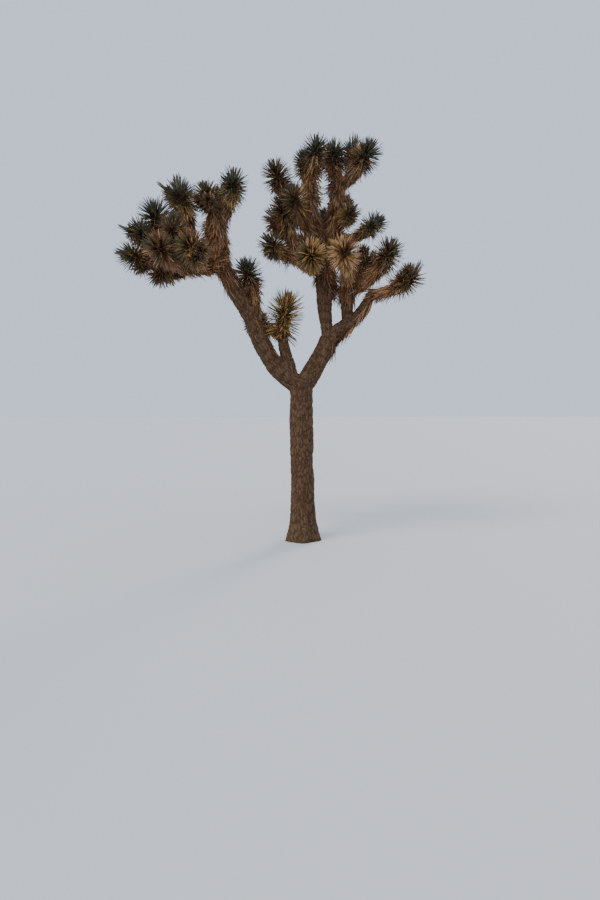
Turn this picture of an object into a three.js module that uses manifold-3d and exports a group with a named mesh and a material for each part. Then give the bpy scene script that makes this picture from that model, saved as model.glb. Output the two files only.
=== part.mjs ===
// Joshua tree: a trunk that forks into two boughs and a middle limb, which carry rosettes of leaves.
// Every limb is a tapering solid, and every rosette is one solid with the dead leaves that clothe its stem.
// Millimetres, +Z up, +X to the right and +Y to the back of the front view. The origin is the middle
// of the flat cut at ground level.

import * as THREE from "three";
import { mergeVertices } from "three/addons/utils/BufferGeometryUtils.js";
import Module from "manifold-3d";

// Driving sizes
const trunkRadius = 149;
const rootFlare = 70;
const rootFlareHeight = 190;
const stemRadius = 64;
const headRadius = 172;
const headRise = 180;
const skirtLength = 330;
const limbRings = 5;
const ringCrowding = 1.3;
const limbForm = { sides: 8, roughness: 0.05 };
const rosetteForm = { sides: 8, roughness: 0.12 };
const seatGap = 0.5;

// The rounded end of a limb, as shares of its end radius: [radius, distance past the end]
const roundedEnd = [[0.72, 0.45], [0, 0.65]];

// The outline of a leaf ball, as [share of its radius, share of the skirt below it or of its rise]
const ballOutline = [[0.72, -0.6], [0.93, -0.28], [1, 0], [0.86, 0.5], [0.42, 0.9], [0, 1]];

// Limbs, each growing on another limb at a share of its length. "to" is where the limb's middle line
// ends, "bow" is how far that line hangs below the straight one, as a share of the limb's length, and
// "girth" is its radius at both ends.
const limbs = [
  { name: "trunk", to: [-25, 0, 1910], bow: 0, girth: [trunkRadius, 143] },

  { name: "left_bough", on: "trunk", at: 1, to: [-610, -120, 2740], bow: 0.105, girth: [118, 101] },
  { name: "left_knee", on: "left_bough", at: 1, to: [-1000, -200, 3400], bow: 0, girth: [98, 104] },
  { name: "left_leader", on: "left_knee", at: 1, to: [-1032, -200, 3955], bow: 0, girth: [148, 143] },
  { name: "left_arm", on: "left_knee", at: 1, to: [-1410, -300, 3350], bow: 0.06, girth: [140, 125] },

  { name: "middle_limb", on: "trunk", at: 0.97, to: [-262, -60, 2580], bow: 0.05, girth: [77, 69] },

  { name: "right_bough", on: "trunk", at: 1, to: [320, 60, 2510], bow: 0.03, girth: [120, 116] },
  { name: "right_stem", on: "right_bough", at: 1, to: [285, 100, 3470], bow: 0.055, girth: [68, 118] },
  { name: "right_leader", on: "right_stem", at: 1, to: [445, 150, 4475], bow: 0.02, girth: [116, 104] },
  { name: "right_inner", on: "right_stem", at: 0.96, to: [75, 0, 4385], bow: 0.05, girth: [112, 98] },
  { name: "right_arm", on: "right_stem", at: 0.85, to: [-160, -50, 3505], bow: -0.02, girth: [90, 83] },
  { name: "outer_bough", on: "right_bough", at: 1, to: [600, 50, 2735], bow: 0, girth: [104, 88] },
  { name: "outer_stem", on: "outer_bough", at: 0.82, to: [572, -50, 3410], bow: -0.07, girth: [60, 108] },
  { name: "outer_limb", on: "outer_bough", at: 1, to: [840, 0, 3065], bow: 0.08, girth: [74, 54] },
];

// The limbs that wear a coat of dead leaves from end to end
const clothedLimbs = ["left_leader", "left_arm", "right_leader", "right_inner", "right_arm"];

// Rosettes of each part of the crown, each a ball of leaves on a stem. "to" is the middle of the ball,
// "size" is its size and "skirt" is how far its dead leaves reach down the stem, both as shares of an
// ordinary rosette's.
const crown = {
  left_rosette: [
    { on: "left_leader", at: 0.7, to: [-828, -150, 4335], bow: 0.05, size: 0.95, skirt: 1.7 },
    { on: "left_leader", at: 1, to: [-1125, -350, 4130], bow: 0.08, size: 0.92, skirt: 1.2 },
    { on: "left_leader", at: 0.9, to: [-1010, 200, 4280], bow: 0.1, size: 0.9, skirt: 1.2 },
    { on: "left_arm", at: 0.7, to: [-1475, -100, 4210], bow: -0.04, size: 1.08, skirt: 1.5 },
    { on: "left_arm", at: 1, to: [-1740, -250, 3925], bow: 0.06, size: 1.12, skirt: 1.2 },
    { on: "left_arm", at: 1, to: [-1960, -50, 3790], bow: 0.08, size: 0.95, skirt: 1 },
    { on: "left_arm", at: 1, to: [-1990, -350, 3430], bow: 0.04, size: 1, skirt: 1.2 },
    { on: "left_rosette_7", at: 0.3, to: [-1700, -260, 3240], bow: -0.05, size: 0.85, skirt: 1 },
    { on: "left_arm", at: 0.95, to: [-1590, -750, 3430], bow: 0.08, size: 1, skirt: 1 },
    { on: "left_arm", at: 0.45, to: [-1230, -790, 3430], bow: 0.08, size: 1, skirt: 1 },
    { on: "left_rosette_9", at: 0.3, to: [-1465, -550, 3715], bow: 0.06, size: 0.95, skirt: 1 },
    { on: "left_rosette_6", at: 0.3, to: [-1725, 350, 3830], bow: 0.1, size: 1, skirt: 1 },
    { on: "left_leader", at: 0.1, to: [-1330, 460, 3640], bow: 0.1, size: 1, skirt: 1 },
    { on: "left_arm", at: 0.8, to: [-1760, 330, 3420], bow: 0.08, size: 0.92, skirt: 1 },
    { on: "left_bough", at: 0.88, to: [-674, -150, 3300], bow: -0.05, size: 1, skirt: 1.4 },
  ],
  middle_rosette: [
    { on: "middle_limb", at: 1, to: [-208, -100, 2880], bow: 0, size: 1.3, skirt: 0.9 },
    { on: "middle_limb", at: 1, to: [-635, 780, 2810], bow: 0.02, size: 1, skirt: 1 },
  ],
  right_rosette: [
    { on: "right_leader", at: 1, to: [380, 340, 4865], bow: 0.06, size: 0.95, skirt: 1 },
    { on: "right_leader", at: 0.9, to: [775, 50, 4755], bow: 0.06, size: 1.04, skirt: 1.3 },
    { on: "right_rosette_2", at: 0.4, to: [630, 420, 4900], bow: 0.08, size: 0.9, skirt: 1 },
    { on: "right_inner", at: 1, to: [153, -100, 4740], bow: 0.05, size: 0.94, skirt: 1 },
    { on: "right_inner", at: 0.95, to: [20, 150, 4700], bow: 0.06, size: 0.84, skirt: 1.1 },
    { on: "right_inner", at: 0.28, to: [-320, -200, 4420], bow: 0.04, size: 1, skirt: 1.4 },
    { on: "right_inner", at: 0.35, to: [-107, -320, 4110], bow: 0.1, size: 0.95, skirt: 1 },
    { on: "right_arm", at: 1, to: [-380, -100, 3630], bow: 0.08, size: 0.92, skirt: 1 },
    { on: "right_arm", at: 0.97, to: [-245, -100, 4055], bow: -0.08, size: 0.95, skirt: 1.4 },
    { on: "right_rosette_9", at: 0.4, to: [-332, 200, 4010], bow: 0.08, size: 0.95, skirt: 1 },
    { on: "outer_stem", at: 0.7, to: [452, -650, 3420], bow: 0.08, size: 0.98, skirt: 1.2 },
    { on: "right_arm", at: 0.35, to: [87, -550, 3405], bow: 0.08, size: 0.95, skirt: 1.2 },
    { on: "right_leader", at: 0.6, to: [530, 270, 4240], bow: 0.05, size: 0.66, skirt: 1 },
    { on: "right_leader", at: 0.4, to: [565, 0, 4030], bow: 0.06, size: 0.78, skirt: 1 },
    { on: "right_leader", at: 0.2, to: [885, 50, 3915], bow: 0.06, size: 0.84, skirt: 0.9 },
    { on: "outer_stem", at: 0.54, to: [1045, -50, 3555], bow: 0.1, size: 1.02, skirt: 1.4 },
    { on: "right_inner", at: 0.1, to: [270, 420, 4070], bow: 0.1, size: 0.9, skirt: 1.2 },
    { on: "outer_limb", at: 1, to: [1305, -100, 3230], bow: 0.08, size: 0.95, skirt: 1 },
    { on: "right_leader", at: 0.15, to: [430, 800, 3950], bow: 0.1, size: 1, skirt: 1 },
    { on: "right_arm", at: 0.5, to: [0, 760, 3850], bow: 0.1, size: 1, skirt: 1 },
    { on: "right_leader", at: 0.45, to: [500, 750, 4355], bow: 0.1, size: 0.95, skirt: 1 },
    { on: "outer_stem", at: 0.8, to: [850, 600, 3590], bow: 0.08, size: 0.95, skirt: 1 },
  ],
};

// The looks of the three kinds of surface
const bark = new THREE.MeshStandardMaterial({ color: 0x5a4636, roughness: 0.95, metalness: 0 });
const deadLeaves = new THREE.MeshStandardMaterial({ color: 0x8a7453, roughness: 0.9, metalness: 0 });
const leaves = new THREE.MeshStandardMaterial({ color: 0x5c5a40, roughness: 0.8, metalness: 0 });

const up = new THREE.Vector3(0, 0, 1);
const across = new THREE.Vector3(1, 0, 0);

// The middle line of a limb: a curve from its seat to its end, and straight on past the end.
class MiddleLine {
  constructor(from, to, bow) {
    const chord = to.clone().sub(from);
    const hang = up.clone().negate().projectOnPlane(chord.clone().normalize());
    if (hang.length() < 0.01) hang.copy(across);
    hang.normalize();
    const control = from.clone().add(to).multiplyScalar(0.5);
    control.addScaledVector(hang, 2 * bow * chord.length());
    this.curve = new THREE.QuadraticBezierCurve3(from, control, to);
    this.length = this.curve.getLength();
    this.side = chord.cross(hang).normalize();
  }

  // The place and the direction at a distance along the line.
  at(distance) {
    const share = THREE.MathUtils.clamp(distance / this.length, 0, 1);
    const ahead = this.curve.getTangentAt(share);
    const past = distance - share * this.length;
    return { point: this.curve.getPointAt(share).addScaledVector(ahead, past), ahead };
  }
}

// A repeatable number from -1 to 1 for each spot of each limb.
function chance(seed, spot) {
  const wave = Math.sin(seed * 127.1 + spot * 311.7) * 43758.5453;
  return 2 * (wave - Math.floor(wave)) - 1;
}

// Bends a turned profile of [radius, distance] points along a line. "level" keeps its rings flat.
function turnedAlong(line, profile, { sides, roughness, seed, grow, level }) {
  const geometry = new THREE.LatheGeometry(
    profile.map(([radius, distance]) => new THREE.Vector2(radius, distance)),
    sides,
  );
  const spots = geometry.getAttribute("position");
  const rings = profile.length;
  for (let spot = 0; spot < spots.count; spot++) {
    const ring = spot % rings;
    const turn = Math.floor(spot / rings) % sides;
    const [radius, distance] = profile[ring];
    const onAxis = radius === 0;
    const endGrowth = ring === 0 ? -grow : ring === rings - 1 ? grow : 0;
    const { point, ahead } = line.at(distance + (level && ring === 0 ? 0 : endGrowth));
    const direction = level ? up : ahead;
    const side = level ? across : line.side;
    const front = side.clone().cross(direction);
    const uneven = 1 + roughness * chance(seed, ring * sides + turn);
    const reach = onAxis ? 0 : radius * uneven + grow;
    const angle = (2 * Math.PI * turn) / sides;
    point.addScaledVector(side, reach * Math.sin(angle));
    point.addScaledVector(front, reach * Math.cos(angle));
    spots.setXYZ(spot, point.x, point.y, point.z);
  }
  return geometry;
}

function limbProfile({ name, girth: [base, end] }, length) {
  const flareAt = (height) => (name === "trunk" ? rootFlare * Math.exp(-height / rootFlareHeight) : 0);
  const stations = Array.from({ length: limbRings + 1 }, (_, ring) => (ring / limbRings) ** ringCrowding);
  const walls = stations.map((share) => [
    THREE.MathUtils.lerp(base, end, share) + flareAt(share * length),
    share * length,
  ]);
  const tip = roundedEnd.map(([width, past]) => [width * end, length + past * end]);
  return [[0, 0], ...walls, ...tip];
}

function rosetteProfile({ size, skirt }, length) {
  const fall = Math.min(skirtLength * size * skirt, 0.8 * length);
  const rise = headRise * size;
  const ball = ballOutline.map(([width, height]) => [
    headRadius * size * width,
    length + height * (height < 0 ? fall : rise),
  ]);
  return [[0, 0], [stemRadius, 0], [stemRadius * 1.1, length - fall], ...ball];
}

const wasm = await Module();
wasm.setup();

function solidOf(geometry) {
  const bare = geometry.clone();
  bare.deleteAttribute("normal");
  bare.deleteAttribute("uv");
  const merged = mergeVertices(bare, 1e-3);
  const vertProperties = new Float32Array(merged.getAttribute("position").array);
  return new wasm.Manifold(
    new wasm.Mesh({ numProp: 3, vertProperties, triVerts: new Uint32Array(merged.index.array) }),
  );
}

function geometryOf(solid) {
  const { vertProperties, triVerts } = solid.getMesh();
  const geometry = new THREE.BufferGeometry();
  geometry.setAttribute("position", new THREE.BufferAttribute(vertProperties, 3));
  geometry.setIndex(new THREE.BufferAttribute(triVerts, 1));
  geometry.computeVertexNormals();
  return geometry;
}

function boxesMeet(a, b) {
  const [first, second] = [a.boundingBox(), b.boundingBox()];
  return first.min.every((low, i) => low <= second.max[i] && second.min[i] <= first.max[i]);
}

function largestPiece(solid) {
  return solid.decompose().reduce((best, piece) => (piece.volume() > best.volume() ? piece : best));
}

const lines = new Map();
const cutters = [];
const tree = new THREE.Group();

// Grows one limb or rosette on what carries it, and cuts away what the earlier ones already fill.
function grow(part, profileOf, shape, material) {
  const seat = part.on
    ? lines.get(part.on).at(part.at * lines.get(part.on).length).point
    : new THREE.Vector3();
  const line = new MiddleLine(seat, new THREE.Vector3(...part.to), part.bow);
  lines.set(part.name, line);
  const profile = profileOf(part, line.length);
  const form = { ...shape, seed: lines.size, level: !part.on };
  let solid = solidOf(turnedAlong(line, profile, { ...form, grow: 0 }));
  for (const cutter of cutters) {
    if (boxesMeet(solid, cutter)) solid = solid.subtract(cutter);
  }
  cutters.push(solidOf(turnedAlong(line, profile, { ...form, grow: seatGap })));
  const mesh = new THREE.Mesh(geometryOf(largestPiece(solid)), material);
  mesh.name = part.name;
  tree.add(mesh);
}

for (const limb of limbs) {
  const coat = clothedLimbs.includes(limb.name) ? deadLeaves : bark;
  grow(limb, limbProfile, limbForm, coat);
}
for (const [kind, rosettes] of Object.entries(crown)) {
  rosettes.forEach((rosette, index) => {
    const named = { name: `${kind}_${index + 1}`, ...rosette };
    grow(named, rosetteProfile, rosetteForm, leaves);
  });
}

export default tree;
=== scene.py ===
"""Joshua tree: a forked trunk in furrowed bark, coats of dead leaves and balls of dagger leaves.

Metres, +Z up, +X to the right and +Y to the back of the front view. The origin is the middle of
the flat cut under the trunk. The skeleton below has the same seats, bends and girths as the solids.
"""

import math

import bpy
import numpy as np
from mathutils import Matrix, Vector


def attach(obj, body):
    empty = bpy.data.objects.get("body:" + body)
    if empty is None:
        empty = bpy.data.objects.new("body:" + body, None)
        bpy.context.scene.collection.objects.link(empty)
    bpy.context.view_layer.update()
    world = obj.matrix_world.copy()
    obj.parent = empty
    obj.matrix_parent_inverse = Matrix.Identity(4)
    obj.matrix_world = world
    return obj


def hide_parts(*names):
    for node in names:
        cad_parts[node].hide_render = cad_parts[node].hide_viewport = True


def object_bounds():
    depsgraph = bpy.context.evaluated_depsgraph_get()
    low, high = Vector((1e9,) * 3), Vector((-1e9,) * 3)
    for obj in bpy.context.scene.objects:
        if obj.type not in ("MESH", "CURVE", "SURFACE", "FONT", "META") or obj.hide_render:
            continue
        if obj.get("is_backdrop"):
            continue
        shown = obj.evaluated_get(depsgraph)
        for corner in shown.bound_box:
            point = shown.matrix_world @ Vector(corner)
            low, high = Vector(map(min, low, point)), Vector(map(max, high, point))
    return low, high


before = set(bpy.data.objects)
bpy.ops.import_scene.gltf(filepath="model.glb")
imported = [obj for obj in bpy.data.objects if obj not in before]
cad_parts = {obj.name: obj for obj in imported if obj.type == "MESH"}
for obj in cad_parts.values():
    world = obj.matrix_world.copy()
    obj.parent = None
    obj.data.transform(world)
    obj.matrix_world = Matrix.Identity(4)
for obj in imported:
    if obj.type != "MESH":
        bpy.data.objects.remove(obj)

bl_info = {
    "name": "Joshua tree",
    "version": (1, 0, 0),
    "blender": (4, 5, 0),
    "location": "3D View > Sidebar > Joshua tree",
    "description": "Grows a joshua tree limb by limb, with its bark, dead leaves and leaf balls",
    "category": "Object",
}

CAD_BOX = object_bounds()
BODY = "root"

DOWN = np.array([0.0, 0.0, -1.0])
ACROSS = np.array([1.0, 0.0, 0.0])
GOLDEN_ANGLE = math.radians(137.508)
# The purposes of the random draws
LIVE_LEAVES, DEAD_LEAVES, SIDE_SHOOTS = 1, 2, 3
# Points on a middle line, and stations where a limb's wood and a coat are measured
LINE_POINTS, LIMB_STATIONS, COAT_STATIONS = 201, 24, 33

# Limbs: what each grows on, at which share of its length, where its middle line ends, how far
# that line hangs below the straight one as a share of it, and the limb's radius at both ends
LIMBS = [
    ("trunk", None, 0, (-0.025, 0, 1.91), 0, (0.149, 0.143)),
    ("left_bough", "trunk", 1, (-0.61, -0.12, 2.74), 0.105, (0.118, 0.101)),
    ("left_knee", "left_bough", 1, (-1.0, -0.2, 3.4), 0, (0.098, 0.104)),
    ("left_leader", "left_knee", 1, (-1.032, -0.2, 3.955), 0, (0.148, 0.143)),
    ("left_arm", "left_knee", 1, (-1.41, -0.3, 3.35), 0.06, (0.14, 0.125)),
    ("middle_limb", "trunk", 0.97, (-0.262, -0.06, 2.58), 0.05, (0.077, 0.069)),
    ("right_bough", "trunk", 1, (0.32, 0.06, 2.51), 0.03, (0.12, 0.116)),
    ("right_stem", "right_bough", 1, (0.285, 0.1, 3.47), 0.055, (0.068, 0.118)),
    ("right_leader", "right_stem", 1, (0.445, 0.15, 4.475), 0.02, (0.116, 0.104)),
    ("right_inner", "right_stem", 0.96, (0.075, 0, 4.385), 0.05, (0.112, 0.098)),
    ("right_arm", "right_stem", 0.85, (-0.16, -0.05, 3.505), -0.02, (0.09, 0.083)),
    ("outer_bough", "right_bough", 1, (0.6, 0.05, 2.735), 0, (0.104, 0.088)),
    ("outer_stem", "outer_bough", 0.82, (0.572, -0.05, 3.41), -0.07, (0.06, 0.108)),
    ("outer_limb", "outer_bough", 1, (0.84, 0, 3.065), 0.08, (0.074, 0.054)),
]
CLOTHED_LIMBS = ("left_leader", "left_arm", "right_leader", "right_inner", "right_arm")

# Leaf balls of each part of the crown: what each stem grows on and where, the middle of the ball,
# the stem's bow, the ball's size, how far its skirt reaches, and the tone of its leaves
CROWN = {
    "left_rosette": [
        ("left_leader", 0.7, (-0.828, -0.15, 4.335), 0.05, 0.95, 1.7, "mossy"),
        ("left_leader", 1, (-1.125, -0.35, 4.13), 0.08, 0.92, 1.2, "brown"),
        ("left_leader", 0.9, (-1.01, 0.2, 4.28), 0.1, 0.9, 1.2, "green"),
        ("left_arm", 0.7, (-1.475, -0.1, 4.21), -0.04, 1.08, 1.5, "mossy"),
        ("left_arm", 1, (-1.74, -0.25, 3.925), 0.06, 1.12, 1.2, "green"),
        ("left_arm", 1, (-1.96, -0.05, 3.79), 0.08, 0.95, 1, "green"),
        ("left_arm", 1, (-1.99, -0.35, 3.43), 0.04, 1, 1.2, "brown"),
        ("left_rosette_7", 0.3, (-1.7, -0.26, 3.24), -0.05, 0.85, 1, "brown"),
        ("left_arm", 0.95, (-1.59, -0.75, 3.43), 0.08, 1, 1, "faded"),
        ("left_arm", 0.45, (-1.23, -0.79, 3.43), 0.08, 1, 1, "faded"),
        ("left_rosette_9", 0.3, (-1.465, -0.55, 3.715), 0.06, 0.95, 1, "brown"),
        ("left_rosette_6", 0.3, (-1.725, 0.35, 3.83), 0.1, 1, 1, "green"),
        ("left_leader", 0.1, (-1.33, 0.46, 3.64), 0.1, 1, 1, "green"),
        ("left_arm", 0.8, (-1.76, 0.33, 3.42), 0.08, 0.92, 1, "olive"),
        ("left_bough", 0.88, (-0.674, -0.15, 3.3), -0.05, 1, 1.4, "olive"),
    ],
    "middle_rosette": [
        ("middle_limb", 1, (-0.208, -0.1, 2.88), 0, 1.3, 0.9, "golden"),
        ("middle_limb", 1, (-0.635, 0.78, 2.81), 0.02, 1, 1, "faded"),
    ],
    "right_rosette": [
        ("right_leader", 1, (0.38, 0.34, 4.865), 0.06, 0.95, 1, "green"),
        ("right_leader", 0.9, (0.775, 0.05, 4.755), 0.06, 1.04, 1.3, "green"),
        ("right_rosette_2", 0.4, (0.63, 0.42, 4.9), 0.08, 0.9, 1, "green"),
        ("right_inner", 1, (0.153, -0.1, 4.74), 0.05, 0.94, 1, "green"),
        ("right_inner", 0.95, (0.02, 0.15, 4.7), 0.06, 0.84, 1.1, "green"),
        ("right_inner", 0.28, (-0.32, -0.2, 4.42), 0.04, 1, 1.2, "brown"),
        ("right_inner", 0.35, (-0.107, -0.32, 4.11), 0.1, 0.95, 1, "brown"),
        ("right_arm", 1, (-0.38, -0.1, 3.63), 0.08, 0.92, 0.8, "faded"),
        ("right_arm", 0.97, (-0.245, -0.1, 4.055), -0.08, 0.95, 1.4, "faded"),
        ("right_rosette_9", 0.4, (-0.332, 0.2, 4.01), 0.08, 0.95, 1, "brown"),
        ("outer_stem", 0.7, (0.452, -0.65, 3.42), 0.08, 0.98, 0.8, "straw"),
        ("right_arm", 0.35, (0.087, -0.55, 3.405), 0.08, 0.95, 1.2, "golden"),
        ("right_leader", 0.6, (0.53, 0.27, 4.24), 0.05, 0.66, 1, "brown"),
        ("right_leader", 0.4, (0.565, 0, 4.03), 0.06, 0.78, 1, "brown"),
        ("right_leader", 0.2, (0.885, 0.05, 3.915), 0.06, 0.84, 0.9, "olive"),
        ("outer_stem", 0.54, (1.045, -0.05, 3.555), 0.1, 1.02, 1.4, "brown"),
        ("right_inner", 0.1, (0.27, 0.42, 4.07), 0.1, 0.9, 1.2, "brown"),
        ("outer_limb", 1, (1.305, -0.1, 3.23), 0.08, 0.95, 1, "brown"),
        ("right_leader", 0.15, (0.43, 0.8, 3.95), 0.1, 1, 1, "olive"),
        ("right_arm", 0.5, (0, 0.76, 3.85), 0.1, 1, 1, "brown"),
        ("right_leader", 0.45, (0.5, 0.75, 4.355), 0.1, 0.95, 1, "green"),
        ("outer_stem", 0.8, (0.85, 0.6, 3.59), 0.08, 0.95, 1, "faded"),
    ],
}

# Side shoots that stand out from a ball: the ball that each grows beside, where its own middle
# lies from that ball's, and its share of that ball's size
SHOOTS = [
    ("left_rosette_2", (-0.1, 0.05, -0.06), 0.55),
    ("left_rosette_4", (-0.14, 0, 0.03), 0.46),
    ("left_rosette_6", (-0.12, 0, 0), 0.58),
    ("left_rosette_7", (0.1, -0.02, -0.13), 0.62),
    ("left_rosette_10", (0.12, -0.02, -0.05), 0.6),
    ("right_rosette_1", (-0.09, -0.05, -0.15), 0.6),
    ("right_rosette_3", (0.05, 0, 0.05), 0.6),
    ("right_rosette_18", (-0.05, -0.05, 0.07), 0.66),
    ("right_rosette_22", (-0.06, 0, 0.12), 0.7),
]
# The chances that a ball has no more shoots than those, one more, or two, up to which size
SHOOT_CHANCES = (0.3, 0.45, 0.25)
LARGEST_WITH_SHOOTS = 1.1
# How far such a shoot leans right or left and up or down, how far aside of the ball's middle and
# how far below it the shoot ends, how far below it the shoot forks off, its size and its bow
SHOOT_LEANS = (0.35, 0.4)
SHOOT_ASIDE = (0.1, 0.14)
SHOOT_BELOW = (0.02, 0.1)
SHOOT_FORK = (0.14, 0.2)
SHOOT_SIZE = (0.52, 0.7)
SHOOT_BOW = 0.1

# Balls whose youngest leaves stand out as a spear: how many times longer those are than the others,
# and where they lean
SPEARS = {
    "left_rosette_4": (1.25, (0, 0, 1)),
    "left_rosette_4_shoot_1": (2, (-1, 0, 0.2)),
    "left_rosette_6_shoot_1": (2, (-1, 0, -0.1)),
    "left_rosette_7": (1.05, (-1, 0, 0.3)),
    "right_rosette_3": (1.4, (0, 0, 1)),
    "right_rosette_3_shoot_1": (2.05, (-0.1, 0, 1)),
    "right_rosette_18": (1.25, (0, 0, 1)),
}
YOUNG_LENGTH = 0.82
SPEAR_LEAN = 0.9

# Balls with live leaves farther down their stems, and how many times farther
BRUSHES = {"middle_rosette_1": 1.6, "right_rosette_18": 1.4}

# Dead leaves left on boughs that are otherwise bare: limb, from and to which share of its length,
# the side they hang on (None: all round), how far they reach out from the wood, and how dense
# they are
PATCHES = [
    ("left_knee", 0.62, 1, None, 0.03, 1),
    ("left_bough", 0.55, 1, (0.7, -0.1, 0.7), 0.015, 0.3),
    ("right_stem", 0.8, 1, None, 0.035, 1),
    ("right_stem", 0.6, 0.9, (1, -0.2, 0), 0.105, 2.2),
    ("outer_stem", 0.45, 1.12, None, 0.03, 1),
    ("outer_stem", 0.58, 0.88, (-1, -0.2, 0), 0.06, 1.4),
    ("outer_bough", 0.1, 1, (0.6, 0, -0.8), 0.04, 0.9),
    ("right_bough", 0.84, 1, (1, 0.1, -0.8), 0.035, 0.8),
    ("outer_limb", 0, 0.8, (0.4, -0.2, -0.9), 0.02, 0.6),
    ("left_leader", 0.45, 0.9, (-1, -0.1, 0), 0.14, 1.2),
    ("left_arm", 0.1, 0.5, (0.1, -0.2, 1), 0.14, 1),
    ("right_leader", 0.85, 1, (-1, -0.2, 0), 0.13, 1.2),
    ("right_inner", 0.8, 1, (1, -0.2, 0), 0.15, 1.2),
    ("right_rosette_1", 0.05, 0.7, (-1, -0.2, 0), 0.13, 1.3),
    ("right_rosette_4", 0.05, 0.7, (1, -0.2, 0), 0.15, 1.3),
    ("right_rosette_8", 0, 0.35, (0, -0.2, -1), 0.15, 1),
    ("right_rosette_18", 0.15, 0.5, (0, -0.2, -1), 0.085, 1),
]
# Over which length the wood gets thinner where a patch all round it begins
PATCH_FADE = 0.15

# The outline of a leaf ball: places as shares of its skirt or of its rise, with the share of its
# radius at each
BALL_OUTLINE = [(-1, 0.42), (-0.6, 0.72), (-0.28, 0.93), (0, 1), (0.5, 0.86), (0.9, 0.42), (1, 0)]
# How much a stem widens up to the skirt, the longest skirt as a share of the stem, and how far past
# the middle of an ordinary ball its stem goes on
NECK = 1.1
LONGEST_SKIRT = 0.8
STEM_TIP = 0.06

# Parts of the crown, each made as a piece of live leaves and a piece of dead ones, with the limbs
# that carry them
CROWN_PARTS = {
    "left_top": ("left_leader", "left_bough"),
    "left_side": ("left_arm",),
    "middle": ("middle_limb",),
    "right_top": ("right_leader", "right_inner"),
    "right_side": ("right_arm", "right_stem"),
    "outer": ("outer_stem", "outer_limb", "outer_bough", "right_bough"),
}

# How the plain leaf colours are dealt out: the share of each colour in each tone
LEAF_COLOURS = ("leaf_blue", "leaf_green", "leaf_olive", "leaf_yellow", "leaf_straw", "leaf_brown")
LEAF_TONES = {
    "green": (0.34, 0.34, 0.2, 0.02, 0.02, 0.08),
    "olive": (0.1, 0.26, 0.36, 0.1, 0.04, 0.14),
    "golden": (0.02, 0.04, 0.26, 0.26, 0.14, 0.28),
    "brown": (0.08, 0.12, 0.22, 0.06, 0.08, 0.44),
    "straw": (0, 0.02, 0.1, 0.18, 0.48, 0.22),
    "mossy": (0.3, 0.3, 0.24, 0.05, 0.01, 0.1),
    "faded": (0.06, 0.12, 0.24, 0.06, 0.09, 0.43),
}
DEAD_COLOURS = ("dead_tan", "dead_brown", "dead_umber", "dead_grey", "dead_straw")
DEAD_TONES = {
    "green": (0.22, 0.36, 0.26, 0.12, 0.04),
    "olive": (0.28, 0.34, 0.22, 0.08, 0.08),
    "golden": (0.3, 0.24, 0.14, 0.06, 0.26),
    "brown": (0.22, 0.42, 0.28, 0.06, 0.02),
    "straw": (0.34, 0.2, 0.1, 0.08, 0.28),
    "mossy": (0.22, 0.12, 0.08, 0.04, 0.54),
    "faded": (0.32, 0.3, 0.16, 0.12, 0.1),
    "coat": (0.26, 0.38, 0.22, 0.14, 0),
    "bare": (0.06, 0.36, 0.52, 0.06, 0),
}
# The chance that one of the uppermost leaves is in full growth, whatever its spray's colour, from
# and up to which share of the leaves it rises to this, and how many of the first colours are those
# of full growth
FRESH_CHANCES = {"green": 0.75, "mossy": 0.55, "olive": 0.5, "brown": 0.2}
UPPERMOST = (0.4, 0.8)
FULL_GROWTH = 2
# How far below the middle of a ball its dead leaves still have its tone
NEWLY_DEAD = 0.25
# How many leaves a spray has, and the share of them that take its colour
LEAVES_PER_SPRAY = 14
SPRAY_SHARE = 0.6

# Live leaves: the share that are young, how far the lowest lean from the stem's way and which share
# of their lean the young ones keep, how far over the ball's middle the highest sits, how evenly
# they follow on it, how deep in the stem they sit, and how far they sag
SPEAR_SHARE = 0.07
LOWEST_LEAN = math.radians(124)
YOUNG_LEAN = 0.35
HIGHEST_SEAT = 0.04
EVENNESS = 0.7
LIVE_SEAT = 0.8
LIVE_SAG = 0.02
# How much they vary in turn, lean, swing and twist, and in bend, length and width
LIVE_TURN, LIVE_LEAN, LIVE_SWING, LIVE_TWIST = 0.16, 0.1, 0.06, 0.3
LIVE_BEND = (0.02, 0.05)
LIVE_LENGTHS = (0.82, 1.08)
LIVE_WIDTHS = (0.85, 1.15)

# Dead leaves: how dense they are at least and how much denser by the radius of their coat, the size
# below which they get no shorter, how deep in the wood they sit, how far back they lie at first, in
# how many rounds they are laid on the coat, how steep they may stand and how they sag
THIN_CROWD, THICK_CROWD = 0.35, 6.5
LEAST_SIZE = 0.7
DEAD_SEAT = 0.93
DEAD_BACK = 0.9
LAYING_ROUNDS = 5
DEAD_RISE = (0.06, 0.97)
DEAD_SAG = 0.1
# How far out flat ones reach as a share of the coat, how far they lift off it and which share of
# that they bend back, and how far ruffled ones stand out past it
FLAT_REACH = (0.7, 1.08)
FLAT_LIFT = (0.12, 0.3)
FLAT_BEND = 0.8
RUFFLED_STAND = (0.01, 0.055)
# How much they vary in turn, swing and twist, and in length and width
DEAD_TURN, DEAD_SWING, DEAD_TWIST = 0.3, 0.1, 0.5
DEAD_LENGTHS = (0.72, 1.15)
DEAD_WIDTHS = (0.7, 1.2)
# Where the coats begin on a stem, and where they end below a ball or past the end of a limb
COAT_START, COAT_BELOW_BALL, COAT_PAST_END = 0.02, 0.04, 0.05

# Bark: how far its plates waver and jitter aside, and how many times in a metre
PLATE_WAVER, PLATE_JITTER = 0.045, 0.022
WAVERS, JITTERS = 8, 45
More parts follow.
